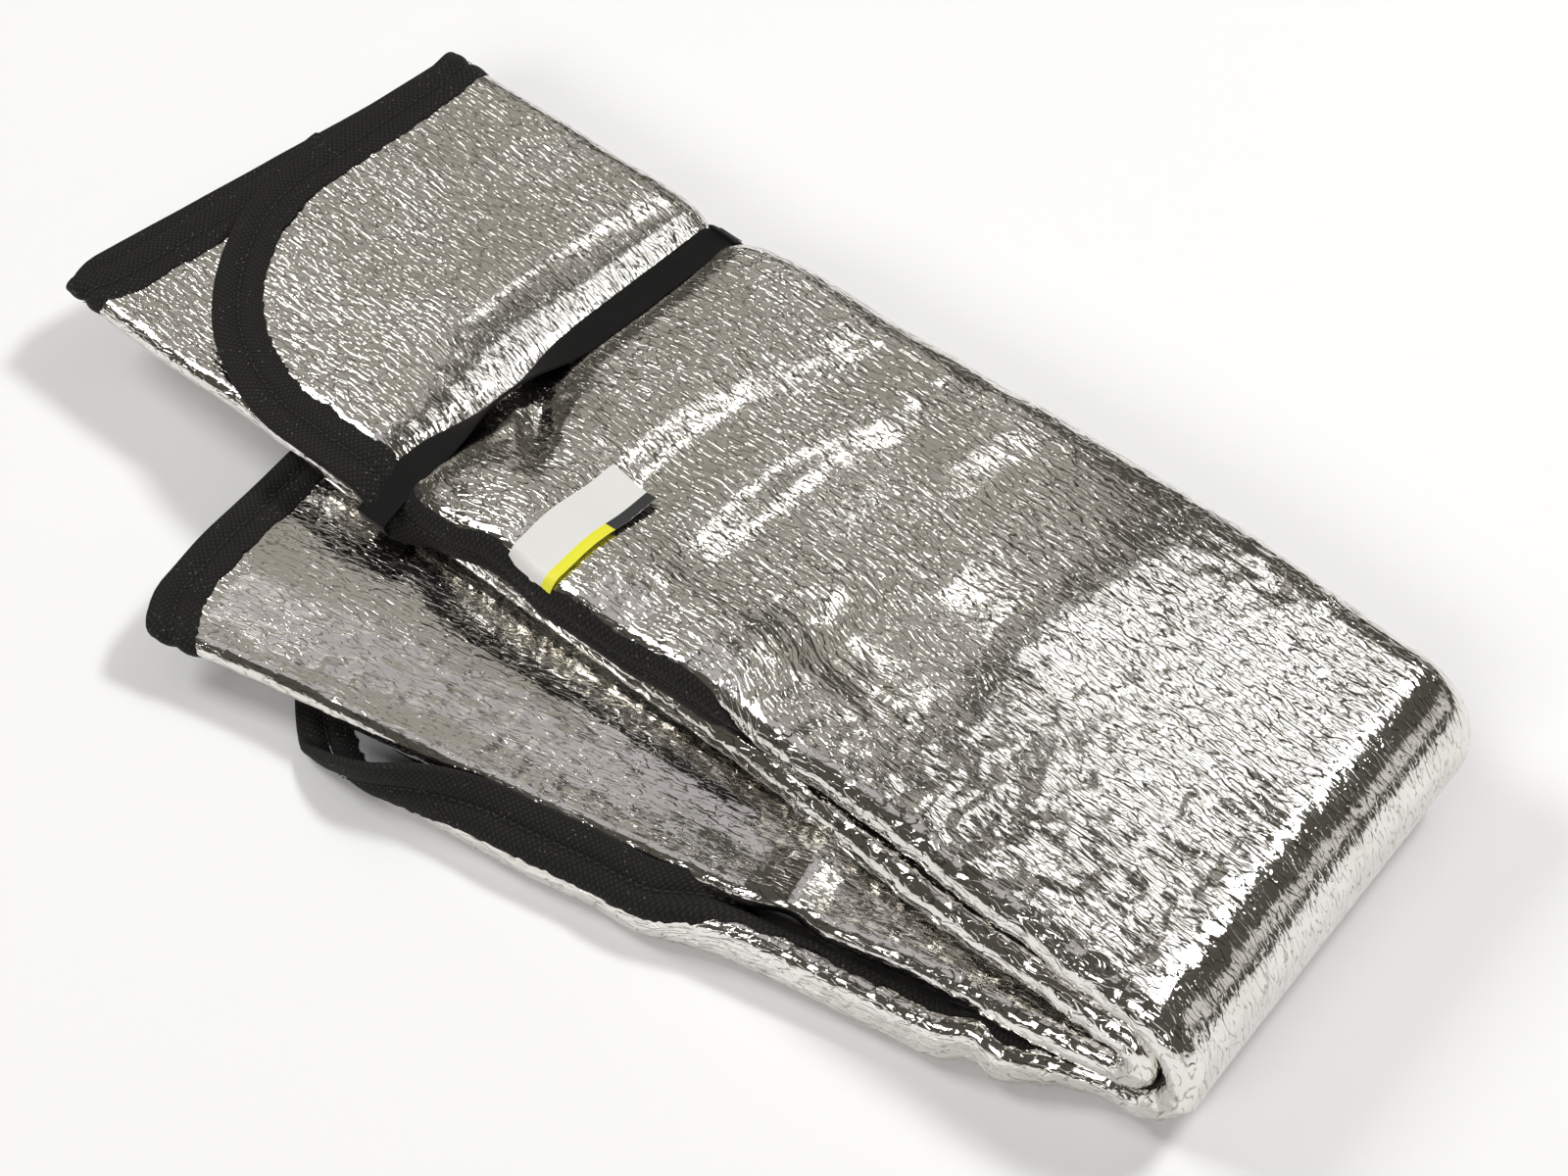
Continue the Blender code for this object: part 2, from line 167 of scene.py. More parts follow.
            # laid flat past the loop, rolled under by the label, turned right back near the cross fold
            right = ease(0.152, 0.128, u)
            turn, upright = np.radians(12 + 88 * ease(0.296, 0.268, u) + 100 * right), np.radians(95)
            start = -0.0655 - 0.0080 * ease(0.30, 0.272, u) - 0.0020 * ease(0.14, 0.08, u)
            start = start + 0.0014 * ripple(u, u, 0.024, 9, 71) * ease(0.01, 0.04, u)
            first, second = np.minimum(turn, upright), np.maximum(turn - upright, 0)
            return start, 0.0045, first, 0.0, second, 0.0195 + 0.0085 * right
        if self.side > 0:
            return -0.0350 - 0.0090 * ease(0.36, 0.29, u), 0.006, np.radians(8.0), 0.0, 0.0, 0.014
        if q == 1:
            # a standing lip: folded over inwards near the cross fold, lower and leaning in further along, and
            # only curled up at the free end; a notch is pressed into it at u = 0.047
            lean, leave = ease(0.115, 0.160, u), ease(0.20, 0.27, u)
            first = np.radians(95 - 27 * ease(0.21, 0.29, u))
            wall = 0.0072 * ease(0.0, 0.06, u) * (1 - 0.35 * ease(0.13, 0.18, u) - 0.65 * leave)
            second = np.radians(105 + 55 * ease(0.0, 0.04, u) - 110 * lean - 50 * leave)
            start = -0.0755 - 0.0128 * ease(0.0, 0.050, u) + 0.0055 * ease(0.24, 0.32, u)
            start = start + 0.0042 * (bump(u, 0.047, 0.008) - ease(0.12, 0.16, u) * ease(0.27, 0.20, u))
            start = start + 0.0010 * ripple(u, u, 0.020, 9, 73) * ease(0.0, 0.03, u)
            radius = 0.0045 - 0.0012 * ease(0.0, 0.05, u) + 0.0021 * ease(0.21, 0.28, u)
            return start, radius, first, wall, second, 0.0280 + wall * 0.85 - 0.0062 * lean
        right = ease(0.16, 0.06, u)
        return -0.0725 + 0.0285 * right, 0.006, np.radians(38 - 30 * right), 0.0, 0.0, 0.014

    def bends(self, u):
        """The three lengthwise bends, half circles between the quarters they join: for each its first and last
        width, place across, height at its start and end, the way it bulges and the way its foil faces."""
        tight = bump(u, STRAP_AT, 0.012) if self.side > 0 else 0.0
        drift = ease(0.0, 0.06, u)
        far, near = FAR_LINE + 0 * u, NEAR_LINE + 0 * u
        z1, z2 = self.layer(1, far, u), self.layer(2, far, u)
        far12 = far + 0.55 * (0.0105 - (z1 - z2) / 2) - 0.0035 * tight
        far12 = far12 + 0.0012 * drift * ripple(u, u, 0.07, 9, 3)
        near23 = near + 0.0021 * tight + 0.0011 * drift * ripple(u, u, 0.05, 9, 5 + self.side)
        if self.side > 0:
            near23 = near23 + 0.0040 * ease(0.300, 0.275, u) * ease(0.06, 0.14, u)
        else:
            near23 = near23 + 0.0022 * bump(u, 0.075, 0.035) - 0.0015 * ease(0.1, 0.2, u)
            near23 = near23 + 0.0030 * bump(u, 0.118, 0.010)
        far34 = far - 0.0035 * tight
        return ((S12, S2, far12, z1, z2, 1, 1),
                (S23, S3, near23, self.layer(2, near, u), self.layer(3, near, u), -1, 1),
                (S34, S4, far34, self.layer(3, far, u), self.layer(4, far, u), 1, -1))

    def across(self, s, u, h):
        """Place across the leg and height above the axis: flat quarters joined by half circles, each outer
        quarter's near hem curled; the point is moved h along the sheet's normal, which is the foil's side."""
        bends = self.bends(u)
        far12, near23, far34 = (bend[2] for bend in bends)
        y, z = np.zeros_like(s), np.zeros_like(s)
        ny, nz = np.zeros_like(s), np.ones_like(s)

        def put(mask, *values):
            for target, value in zip((y, z, ny, nz), values):
                target[mask] = np.broadcast_to(value, s.shape)[mask]

        for q, from_edge, far_line, way in ((1, s, far12, 1.0), (4, WIDTH - s, far34, -1.0)):
            start, radius, first, wall, second, hem = self.hem(q, u)
            run = hem - from_edge
            bent = np.clip(run, 0.0, radius * first) / radius
            up = np.clip(run - radius * first, 0.0, wall)
            more = np.clip(run - radius * first - wall, 0.0, radius * second) / radius
            rest = np.maximum(run - radius * (first + second) - wall, 0.0)
            spread = (far_line - start) / (QUARTER - hem)
            swing = bent + more
            curled = start - radius * np.sin(swing) - up * np.cos(first) - rest * np.cos(swing)
            yq = np.where(run < 0, start - run * spread, curled)
            drop = radius * (1 - np.cos(swing)) + up * np.sin(first) + rest * np.sin(swing)
            zq = self.layer(q, np.clip(yq, start, FAR_LINE), u) - drop
            put((s <= S12) if q == 1 else (s >= S4), yq, zq, -way * np.sin(swing), way * np.cos(swing))

        for low, high, centre, top, bottom, out, face in bends:
            a = np.pi * (s - low) / (high - low)
            radius, rise = np.abs(top - bottom) / 2, np.sign(top - bottom)
            sine, cosine = out * np.sin(a), rise * np.cos(a)
            put((s > low) & (s < high), centre + radius * sine, (top + bottom) / 2 + radius * cosine,
                face * sine, face * cosine)

        for q, low, high, from_y, to_y, face in ((2, S2, S23, far12, near23, -1),
                                                 (3, S3, S34, near23, far34, 1)):
            yq = from_y + (to_y - from_y) * (s - low) / (high - low)
            put((s >= low) & (s <= high), yq, self.layer(q, yq, u), 0.0, face)
        return y + h * ny, z + h * nz

    def place(self, s, u, h):
        """World points of the flat points (s, u, h): the section swept along the leg, slid to the fold's
        plane where u is 0, turned by the skew and mirrored for the leg below."""
        s, u, h = np.broadcast_arrays(np.asarray(s, float), np.asarray(u, float), np.asarray(h, float))
        y, z = self.across(s, u, h)
        x = -u - APART - self.side * y * np.tan(SKEW) * (1 - ease(0.0, 0.07, u))
        turn = -self.side * SKEW
        swung = x * np.cos(turn) - y * np.sin(turn), x * np.sin(turn) + y * np.cos(turn), self.side * z
        return np.stack(swung, -1) + AXIS


def thin(depth):
    """How far the foam is pressed flat at its sewn edge: 0.55 at the edge, 1 from 20 mm in."""
    return 0.55 + 0.45 * ease(0.011, 0.021, depth)


upper = Leg("upper", 1, (0.4190, 0.4182, 0.4330, 0.4511, 0.4385, 0.4250, 0.4250, 0.4300),
            (0.0260, 0.0050, 0.0120, 0.0190), (0.0165, 0.0005, 0.0055, 0.0106), 21)
lower = Leg("lower", -1, (0.3202, 0.3202, 0.3440, 0.3531, 0.3400, 0.3300, 0.3202, 0.3202),
            (0.0260, 0.0050, 0.0120, 0.0190), (0.0260, 0.0080, 0.0142, 0.0203), 33)


def turned(s, angle, h):
    """World points round the cross fold: the legs' shared section at u = 0 swung about the fold's axis, its
    first and last rows drawn back to where the legs stop."""
    seam = 1e-6
    s, angle, h = np.broadcast_arrays(np.asarray(s, float), np.asarray(angle, float), np.asarray(h, float))
    y, z = upper.across(s, np.zeros_like(s), h)
    back = np.where((angle < seam) | (angle > np.pi - seam), APART, 0.0)
    return np.stack([z * np.sin(angle) - back, y / np.cos(SKEW), z * np.cos(angle)], -1) + AXIS


def grid_faces(rows, columns, start=0, flip=False, closed=False):
    """Quads of a rows x columns grid of points, in order; closed joins its last column to its first."""
    across = columns if closed else columns - 1
    i, j = np.meshgrid(np.arange(rows - 1), np.arange(across), indexing="ij")
    a, b = i * columns + j, i * columns + (j + 1) % columns
    quads = np.stack([a, b, b + columns, a + columns], -1).reshape(-1, 4) + start
    return quads[:, ::-1] if flip else quads


def mesh_piece(name, points, faces, uv, material, crease=50.0):
    """An object from points, quads and a flat place for each point, smooth but for edges over the crease."""
    mesh = bpy.data.meshes.new(name)
    mesh.vertices.add(len(points))
    mesh.vertices.foreach_set("co", points.ravel())
    mesh.loops.add(faces.size)
    mesh.loops.foreach_set("vertex_index", faces.ravel())
    mesh.polygons.add(len(faces))
    mesh.polygons.foreach_set("loop_start", np.arange(0, faces.size, faces.shape[1]))
    mesh.polygons.foreach_set("use_smooth", np.ones(len(faces), bool))
    mesh.update(calc_edges=True)
    a, b, c = (points[faces[:, k]] for k in range(3))
    if np.einsum("ij,ij->i", a, np.cross(b, c) + np.cross(c, points[faces[:, -1]])).sum() < 0:
        mesh.flip_normals()
    flat = mesh.uv_layers.new(name="flat")
    index = np.empty(faces.size, np.int32)
    mesh.loops.foreach_get("vertex_index", index)
    flat.data.foreach_set("uv", uv[index].ravel())
    mesh.set_sharp_from_angle(angle=np.radians(crease))
    mesh.materials.append(material)
    piece = bpy.data.objects.new(name, mesh)
    bpy.context.scene.collection.objects.link(piece)
    return piece


def slab(name, outer, inner, uv, material):
    """A closed skin between two like grids of points, with a rim of quads round all four sides."""
    rows, columns = outer.shape[:2]
    count = rows * columns
    index = np.arange(count).reshape(rows, columns)
    ring = np.concatenate([index[0, :-1], index[:-1, -1], index[-1, :0:-1], index[:0:-1, 0]])
    after = np.roll(ring, -1)
    rim = np.stack([ring, ring + count, after + count, after], -1)
    faces = np.concatenate([grid_faces(rows, columns), grid_faces(rows, columns, count, True), rim])
    points = np.concatenate([outer.reshape(-1, 3), inner.reshape(-1, 3)])
    return mesh_piece(name, points, faces, np.concatenate([uv.reshape(-1, 2)] * 2), material)


# ---- The foil --------------------------------------------------------------------------------------------
# Metallised film heat-bonded to one face of the foam. Rolling has crinkled it in short streaks along the pad.
FOIL_STEP = 0.00135
SLANT = 0.14  # the creases run a little askew to the pad's length


class Wire:
    """A shader socket that arithmetic works on: each operator adds its Math node."""

    def __init__(self, tree, socket):
        self.tree, self.socket = tree, socket

    def node(self, kind, settings=None, *values, output=0, **named):
        """Any other node: its settings first, then its inputs by order or by name, as values or links."""
        made = self.tree.nodes.new(kind)
        for key, value in (settings or {}).items():
            setattr(made, key, value)
        for key, value in list(enumerate(values)) + [(k.replace("_", " "), v) for k, v in named.items()]:
            self.feed(made.inputs[key], value)
        return Wire(self.tree, made.outputs[output])

    def feed(self, socket, value):
        """Links a wire to the socket, or sets the socket to a number, or to a colour made solid."""
        if isinstance(value, Wire):
            self.tree.links.new(value.socket, socket)
        elif socket.type == "RGBA":
            socket.default_value = (*value, 1)
        else:
            socket.default_value = value

    def maths(self, operation, *values):
        return self.node("ShaderNodeMath", dict(operation=operation), *values)

    def __add__(self, other):
        return self.maths("ADD", self, other)

    def __sub__(self, other):
        return self.maths("SUBTRACT", self, other)

    def __rsub__(self, other):
        return self.maths("SUBTRACT", other, self)

    def __mul__(self, other):
        return self.maths("MULTIPLY", self, other)

    __radd__, __rmul__ = __add__, __mul__

    def step(self, low, high):
        """0 below low, 1 above high and smooth between."""
        return self.node("ShaderNodeMapRange", dict(interpolation_type="SMOOTHSTEP"), self, low, high)

    def colours(self, first, second):
        """Mix of two colours by this value: inputs 0, 6 and 7 and output 2 are the node's colour ones."""
        mix = self.node("ShaderNodeMix", dict(data_type="RGBA"), output=2)
        for key, value in ((0, self), (6, first), (7, second)):
            self.feed(mix.socket.node.inputs[key], value)
        return mix


def finish(name, **constants):
    """A new material with its shader's fixed sockets set: material, shader and the flat map's wire."""
    material = bpy.data.materials.new(name)
    material.use_nodes = True
    tree = material.node_tree
    shader = tree.nodes["Principled BSDF"]
    for key, value in constants.items():
        shader.inputs[key.replace("_", " ")].default_value = value
    flat = tree.nodes.new("ShaderNodeUVMap")
    flat.uv_map = "flat"
    return material, shader, Wire(tree, flat.outputs[0])


def link(wire, shader, socket):
    wire.tree.links.new(wire.socket, shader.inputs[socket])


def scaled(flat, x, y, turn=0.0, shift=(0, 0)):
    """The flat map in cells of x metres along the width and y along the length, turned and shifted."""
    return flat.node("ShaderNodeMapping", None, flat, (*shift, 0), (0, 0, turn), (1 / x, 1 / y, 1))


def relief(flat, shader, height, tall, strength=1.0):
    """Gives the shader's normal a height map, tall metres from 0 to 1."""
    link(flat.node("ShaderNodeBump", None, Strength=strength, Distance=tall, Height=height), shader, "Normal")


def noise(flat, x, y, turn=0.0, shift=(0, 0), **named):
    """Flat noise in cells of x by y metres."""
    return flat.node("ShaderNodeTexNoise", dict(noise_dimensions="2D"), scaled(flat, x, y, turn, shift),
                     Scale=1.0, **named)


def foil_material(name, tall, slack):
    """Bright film: low plates with sharp edges, drawn out along the pad, in two sizes, over a fine grain.
    Where the film lies calm its plates are lower, by slack. In places their edges are painted darker, as shade
    in the creases."""
    foil, shader, flat = finish(name, Metallic=1.0, IOR=1.4)

    def streaks(x, y, detail, twist, shift=(0, 0)):
        return noise(flat, x, y, SLANT, shift, Detail=detail, Roughness=0.55, Distortion=twist)

    plates = streaks(0.0018, 0.0080, 0.5, 0.25)
    slivers = streaks(0.0010, 0.0040, 0.5, 0.35, (3.1, 7.7))
    grain = streaks(0.0006, 0.0016, 2.0, 0.4)
    calm = streaks(0.040, 0.055, 1.0, 0.0, (5.5, 1.2)).step(0.38, 0.60)
    height = plates.step(0.45, 0.56) * 0.50 + slivers.step(0.47, 0.58) * 0.28 + grain * 0.04
    height = height * (slack + calm * (1 - slack)) + (plates + slivers) * 0.15
    # painted shade: the plates' edges are darkened in the colour to stand in for the shadowed creases of the
    # film
    crease_shade_mask = plates.step(0.45, 0.49) * (1 - plates.step(0.52, 0.56)) * slivers.step(0.40, 0.55)
    relief(flat, shader, height, tall)
    film_tone = calm.colours((0.79, 0.772, 0.730), (0.84, 0.825, 0.785))
    link((crease_shade_mask * 0.72).colours(film_tone, (0.30, 0.285, 0.24)), shader, "Base Color")
    link(grain * 0.06 + 0.05, shader, "Roughness")
    return foil


FOIL = foil_material("foil_film", 0.00027, 0.60)
FOIL_CALM = foil_material("foil_film_smooth", 0.00013, 0.50)


def crinkle(s, v):
    """Height of the film's creases off the foam: sharp-crested streaks, 1 - |noise|, in broad patches that
    grow stronger towards the cross fold; short crumples where the film is bent tightest, along the sheet's
    side bends and rolled hems; and a gathering beside the elastic."""
    lean = v + SLANT * s
    crest = 1 - np.abs(ripple(lean, s, 0.0120, 0.0042, 7))
    small = 1 - np.abs(ripple(lean, s, 0.0070, 0.0028, 11))
    patch = 0.25 + 0.75 * ease(-0.30, 0.50, ripple(v, s, 0.052, 0.040, 13))
    bent = bump(s, (S23 + S3) / 2, 0.008) + 0.8 * bump(s, 0.022, 0.008) + 0.3 * bump(s, MIDS[1], 0.020)
    bent = np.clip(bent, 0, 1) * (0.25 + 0.75 * ease(0.24, 0.10, np.abs(v)))
    fold = 1 - np.abs(ripple(v, s, 0.0050, 0.0060, 17))
    pucker = 1 - np.abs(ripple(v + 0.5 * s, s, 0.0085, 0.011, 19))
    patch = patch * (1 + 0.9 * ease(0.13, 0.04, v) * ease(-0.03, 0.0, v))
    gathered = bump(v, 0.274, 0.017) * bump(s, 0.056, 0.020)
    return (patch * (0.00026 * crest**3 + 0.00015 * small**2)
            + bent * (0.00055 * fold**2 + 0.00100 * pucker**3)
            + gathered * (0.0006 * fold**2 + 0.0009 * pucker**2))


def foil_skin(name, place, widths, lengths, depth, along, fade, film):
    """Foil between widths x lengths: the outer face creased, but smooth where the tape covers it; the inner
    face lies against the foam."""
    rise = crinkle(widths, along) * fade * ease(0.011, 0.019, depth)
    base = FOAM_HALF * thin(depth) + SKIN
    uv = np.stack([widths, along], -1)
    return slab(name, place(widths, lengths, base + FILM + rise), place(widths, lengths, base), uv, film)


def stations(*runs):
    """Widths from runs of (start, end, step), joined end to end."""
    parts = [np.linspace(a, b, max(2, int(round((b - a) / step)) + 1)) for a, b, step in runs]
    return np.concatenate([p if i == 0 else p[1:] for i, p in enumerate(parts)])


INSET = 0.0009  # the skins stop this short of the cut edge, inside the tape


def leg_grid(leg, widths, rows):
    """Flat places of a leg's grid, rows from the fold's plane to just inside the cut edge."""
    share = np.linspace(0.0, 1.0, rows)[:, None]
    ends = leg.cut(widths)[None, :] - INSET
    return np.broadcast_to(widths[None, :], (rows, len(widths))).copy(), share * ends


def cut_size(leg, widths):
    """A leg's skin as cut flat: its width and longest length, and its area less the rounded corners."""
    lengths = leg.cut(widths)
    area = float(((lengths[1:] + lengths[:-1]) / 2 * np.diff(widths)).sum())
    return (float(widths[-1] - widths[0]), float(lengths.max())), area


# Widths of the outermost quarter, and of the other three with the grid finest where they can be seen.
OUTER_RUNS = ((INSET, 0.02, 0.0013), (0.02, S12, FOIL_STEP), (S12, MIDS[1], 0.0013))
INNER_RUNS = ((MIDS[1], S2, 0.0016), (S2, S23 - 0.05, 0.0040), (S23 - 0.05, S23, 0.0020), (S23, S3, 0.0009),
              (S3, S3 + 0.06, 0.0020), (S3 + 0.06, S34, 0.0050), (S34, S4, 0.0014),
              (S4, WIDTH - 0.03, 0.0050), (WIDTH - 0.03, WIDTH - INSET, 0.0018))
TOP_RUNS = ((MIDS[1], S2, 0.0013), (S2, S23, 0.0016), (S23, S3, 0.0009), (S3, S3 + 0.02, 0.0025),
            (S3 + 0.02, S34, 0.0060), (S34, S4, 0.0014), (S4, WIDTH - 0.03, 0.0060),
            (WIDTH - 0.03, WIDTH - INSET, 0.0018))
for leg, which, runs, rows, film in (
        (upper, "outer", OUTER_RUNS, 293, FOIL), (upper, "inner", INNER_RUNS, 293, FOIL),
        (lower, "outer", OUTER_RUNS, 244, FOIL), (lower, "inner", TOP_RUNS, 244, FOIL_CALM)):
    s, u = leg_grid(leg, stations(*runs), rows)
    along = u if leg.side > 0 else -u - 0.09
    fade = 1.0 if leg.side > 0 else ease(0.0, 0.012, u)
    skin = foil_skin(f"foil_{which}_{leg.name}", leg.place, s, u, leg.depth(s, u), along, fade, film)
    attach(skin, f"{leg.name}_leg")
    flat_size, flat_area = cut_size(leg, s[0])
    if which == "outer":
        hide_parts(f"film_{leg.name}")


def spin(s):
    """The fold's radius at width s, level on each quarter and sloping across the bends between them."""
    radii = np.repeat(upper.heights, 2)
    return np.interp(s, (0, S12, S2, S23, S3, S34, S4, WIDTH), radii)


def blend_turn(piece):
    """Bakes a piece's placement into its points; it keeps the shape it was built with between the legs."""
    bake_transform(piece)


for q, rows in ((1, 66), (2, 26), (3, 34), (4, 42)):
    low, high = max(MIDS[q - 1], INSET), min(MIDS[q], WIDTH - INSET)
    widths = stations((low, high, FOIL_STEP))
    angles = np.linspace(0, np.pi, rows)[:, None]
    s, angle = np.broadcast_arrays(widths[None, :], angles)
    along = -angle * spin(s)
    fade = 1 - ease(np.pi - 0.3, np.pi, angle)
    edge = np.minimum(s, WIDTH - s)
    rise = crinkle(s, along) * fade * ease(0.011, 0.019, edge)
    base = FOAM_HALF * thin(edge) + SKIN
    faces = turned(s, angle, base + FILM + rise), turned(s, angle, base)
    skin = slab(f"foil_turn_{q}", *faces, np.stack([s, along], -1), FOIL)
    blend_turn(skin)
    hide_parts(f"film_q{q}_fold")


# ---- The foam --------------------------------------------------------------------------------------------
# Closed-cell foam 2.5 mm thick, one sheet under all the foil, pressed thin where it is sewn into the binding.
FOAM_STEP, FOAM_INSET = 0.0032, 0.0014


def voronoi(flat, x, y, turn=0.0, **named):
    """Flat cells of x by y metres: the distance from each cell's middle."""
    return flat.node("ShaderNodeTexVoronoi", dict(voronoi_dimensions="2D"), scaled(flat, x, y, turn),
                     Scale=1.0, **named)


def foam_material():
    """Matt pale grey foam: fine closed cells as height, a faint mottling in the colour."""
    foam, shader, flat = finish("foam_core", Roughness=0.85)
    cells = voronoi(flat, 0.0009, 0.0009)
    patch = noise(flat, 0.012, 0.012)
    link(patch.colours((0.56, 0.56, 0.58), (0.68, 0.68, 0.70)), shader, "Base Color")
    link(cells * 0.2 + 0.7, shader, "Roughness")
    relief(flat, shader, cells, 0.0002, 0.5)
    return foam


FOAM = foam_material()
for leg in (upper, lower):
    for q in (1, 2, 3, 4):
        low, high = max(MIDS[q - 1], FOAM_INSET), min(MIDS[q], WIDTH - FOAM_INSET)
        s, u = leg_grid(leg, stations((low, high, FOAM_STEP)), 97)
        u = u * (1 - 0.0006 / leg.cut(s))
        half = FOAM_HALF * thin(leg.depth(s, u))
        faces = leg.place(s, u, half), leg.place(s, u, -half)
        core = slab(f"foam_{q}_{leg.name}", *faces, np.stack([s, u], -1), FOAM)
        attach(core, f"{leg.name}_leg")
        bends = {1: ("foam_bend_12",), 2: ("foam_bend_23",), 3: ("foam_bend_34",), 4: ()}[q]
        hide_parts(f"foam_q{q}_{leg.name}", *(f"{bend}_{leg.name}" for bend in bends))
for q in (1, 2, 3, 4):
    low, high = max(MIDS[q - 1], FOAM_INSET), min(MIDS[q], WIDTH - FOAM_INSET)
    widths, angles = stations((low, high, FOAM_STEP)), np.linspace(0, np.pi, 22)[:, None]
    s, angle = np.broadcast_arrays(widths, angles)
    half = FOAM_HALF * thin(np.minimum(s, WIDTH - s))
    faces = turned(s, angle, half), turned(s, angle, -half)
    core = slab(f"foam_turn_{q}", *faces, np.stack([s, angle * spin(s)], -1), FOAM)
    blend_turn(core)
    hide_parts(f"foam_q{q}_fold")


# ---- The binding -----------------------------------------------------------------------------------------
# Black non-woven tape folded over the sheet's whole edge, 16 mm showing on each face, sewn down its middle.
TAPE, TAPE_WIDTH, SEAM, TAPE_CUT = 0.0006, 0.016, 0.008, 0.034


def binding_material():
    """Bonded black fibre: a diamond grid of pressed dots as height, fine fibres, and a few specks painted
    light grey as highlights where fibres catch the light.
    """
    binding, shader, flat = finish("binding_tape", Specular_IOR_Level=0.2)
    dots = voronoi(flat, 0.0014, 0.0014, 0.785, Randomness=0.12).step(0.12, 0.45)
    fibre = noise(flat, 0.0005, 0.0010, Detail=3.0)
    # painted highlight: rare light grey specks in the colour stand in for single fibres catching the light
    glint_cells = voronoi(flat, 0.0028, 0.0034)
    where = noise(flat, 0.009, 0.012)
    painted_glint = (1 - glint_cells.step(0.02, 0.09)) * where.step(0.50, 0.66)
    shade = (fibre * 0.45 + (1 - dots) * 0.75).colours((0.0042, 0.0040, 0.0038), (0.0260, 0.0250, 0.0230))
    link((painted_glint * 0.55).colours(shade, (0.40, 0.39, 0.37)), shader, "Base Color")
    link(0.62 + fibre * 0.25, shader, "Roughness")
    relief(flat, shader, dots * 0.7 + fibre * 0.4, 0.0003, 0.9)
    return binding


BINDING = binding_material()


def tape_profile(points=17):
    """The tape's closed outline as distance in from the edge and height: out over the foil face, round the
    edge and back under the bare face, puffed either side of the seam and drawn in at it; then the inner face.
    With them, each point's place across the unfolded tape."""
    run = np.linspace(1.0, 0.0, points)
    d = run * TAPE_WIDTH
    puff = 0.00055 * np.sin(np.pi * np.clip(d / SEAM, 0, 2)) ** 2 - 0.00066 * bump(d, SEAM, 0.0012)
    puff = puff - 0.0003 * bump(d, TAPE_WIDTH, 0.0012)
    press = FOAM_HALF * thin(d)
    top, under = press + SKIN + FILM + 0.00035 + TAPE + puff, -(press + 0.0001 + TAPE + puff)
    turn = np.linspace(0, np.pi, 7)[1:-1]
    middle, half = (top[-1] + under[-1]) / 2, (top[-1] - under[-1]) / 2
    outer_d = np.concatenate([d, -0.0009 * np.sin(turn), d[::-1]])
    outer_h = np.concatenate([top, middle + half * np.cos(turn), under[::-1]])
    inner_d = np.maximum(np.concatenate([d, d[::-1]])[::-1], 0.0004)
    thick = TAPE - 0.00005
    inner_h = np.concatenate([top - thick, (under + thick)[::-1]])[::-1]
    around = np.concatenate([np.linspace(0, TAPE_CUT, len(outer_d)), np.linspace(TAPE_CUT, 0, len(inner_d))])
    return np.concatenate([outer_d, inner_d]), np.concatenate([outer_h, inner_h]), around


def edge_path(leg, step):
    """The cut edge as flat points in order, from quarter 4's near edge at the fold, round both corners, to
    quarter 1's: evenly spaced, with the way in from each point."""
    last, first = leg.end(np.array(WIDTH)), leg.end(np.array(0.0))
    angle = np.linspace(0, np.pi / 2, 60)
    widths = np.linspace(WIDTH - CORNER, CORNER, 500)
    s = np.concatenate([np.full(2, WIDTH), WIDTH - CORNER + CORNER * np.cos(angle), widths,
                        CORNER - CORNER * np.sin(angle), np.zeros(2)])
    u = np.concatenate([[0.0, last - CORNER - 0.001], last - CORNER + CORNER * np.sin(angle), leg.end(widths),
                        first - CORNER + CORNER * np.cos(angle), [first - CORNER - 0.001, 0.0]])
    run = np.concatenate([[0], np.cumsum(np.hypot(np.diff(s), np.diff(u)))])
    keep = np.concatenate([[True], np.diff(run) > 1e-7])
    even = np.linspace(0, run[-1], int(run[-1] / step))
    s, u = np.interp(even, run[keep], s[keep]), np.interp(even, run[keep], u[keep])
    ds, du = np.gradient(s), np.gradient(u)
    size = np.hypot(ds, du)
    return even, s, u, -du / size, ds / size


def ring_piece(name, points, run, around, material):
    """A closed tube of rows of profile points, its two ends capped by strips across the profile."""
    rows, columns = points.shape[:2]
    faces = [grid_faces(rows, columns, closed=True)]
    half = columns // 2
    k = np.arange(half - 1)
    for first, flip in ((0, False), ((rows - 1) * columns, True)):
        cap = np.stack([k, k + 1, columns - 2 - k, columns - 1 - k], -1) + first
        faces.append(cap[:, ::-1] if flip else cap)
    uv = np.stack(np.broadcast_arrays(around[None, :], run[:, None]), -1).reshape(-1, 2)
    return mesh_piece(name, points.reshape(-1, 3), np.concatenate(faces), uv, material)


profile_d, profile_h, around = tape_profile()
for leg in (upper, lower):
    run, s, u, in_s, in_u = (part[:, None] for part in edge_path(leg, 0.0016))
    frayed = 1 + 0.042 * ripple(run, run, 0.0019, 9, 41) + 0.03 * ripple(run, run, 0.012, 9, 43)
    inward = profile_d * np.where(profile_d > 0.012, frayed, 1.0)
    swell = profile_h * (1 + 0.10 * ripple(run, run, 0.014, 9, 47))
    points = leg.place(s + in_s * inward, np.maximum(u + in_u * inward, 0.0), swell)
    tape = ring_piece(f"binding_{leg.name}", points, run[:, 0], around, BINDING)
    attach(tape, f"{leg.name}_leg")
    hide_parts(f"binding_q1_{leg.name}", f"binding_rest_{leg.name}")
for q, edge, way in ((1, 0.0, 1), (4, WIDTH, -1)):
    angle = np.linspace(0, np.pi, 30)[:, None]
    points = turned(edge + way * profile_d, angle, profile_h)
    tape = ring_piece(f"binding_turn_{q}", points, angle[:, 0] * 0.02, around, BINDING)
    blend_turn(tape)
    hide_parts(f"binding_q{q}_fold")


